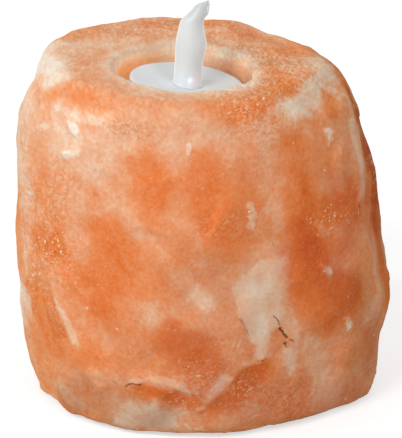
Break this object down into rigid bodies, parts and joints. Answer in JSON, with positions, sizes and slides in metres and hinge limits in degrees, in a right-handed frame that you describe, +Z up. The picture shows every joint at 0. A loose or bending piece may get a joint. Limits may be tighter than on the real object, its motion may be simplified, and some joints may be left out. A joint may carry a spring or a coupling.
{
  "type": "rock salt tea light lamp",
  "caption": "Rough-hewn pink rock-salt block with a round well in its top that holds a white battery tea light with a moulded flame.",
  "frame": {"origin": "on the table, under the middle of the block's outline", "axes": "+Z up, +X to the right of someone facing the block's front, +Y to the back"},
  "size_m": [0.1237, 0.1144, 0.134],
  "materials": {
    "rock_salt": "satin",
    "felt": "matte",
    "white_plastic": "satin",
    "flame_plastic": "satin",
    "clear_resin": "gloss",
    "tinned_wire": "satin",
    "board_laminate": "satin",
    "black_resin": "satin",
    "screw_steel": "satin",
    "tinplate": "satin",
    "switch_plastic": "matte",
    "contact_brass": "satin",
    "cell_steel": "satin",
    "gasket_plastic": "matte",
    "black_plastic": "matte"
  },
  "bodies": {
    "holder": {"salt_block": "rock_salt", "felt_feet": "felt"},
    "tea_light": {"candle_shell": "white_plastic", "base_plate": "white_plastic", "flame": "flame_plastic", "led_lens": "clear_resin", "led_anode_lead": "tinned_wire", "led_cathode_lead": "tinned_wire", "circuit_board": "board_laminate", "chip_blob": "black_resin", "board_screws": "screw_steel", "switch_case": "tinplate", "switch_base": "switch_plastic", "switch_pins": "contact_brass", "positive_contact": "contact_brass", "negative_contact": "contact_brass", "coin_cell_can": "cell_steel", "coin_cell_gasket": "gasket_plastic", "coin_cell_cap": "cell_steel"},
    "battery_door": {"battery_door": "white_plastic"},
    "switch": {"switch_knob": "black_plastic", "switch_wiper": "contact_brass"}
  },
  "joints": [
    {"name": "tea_light_lift", "type": "slide", "parent": "holder", "child": "tea_light", "axis": [0, 0, 1], "range_m": [0, 0.07]},
    {"name": "battery_door_turn", "type": "hinge", "parent": "tea_light", "child": "battery_door", "pos_m": [-0.01157, -0.008, 0.08783], "axis": [0.1305, 0, 0.9914], "range_deg": [0, 45]},
    {"name": "switch_slide", "type": "slide", "parent": "tea_light", "child": "switch", "axis": [0, 1, 0], "range_m": [0, 0.0025]}
  ]
}
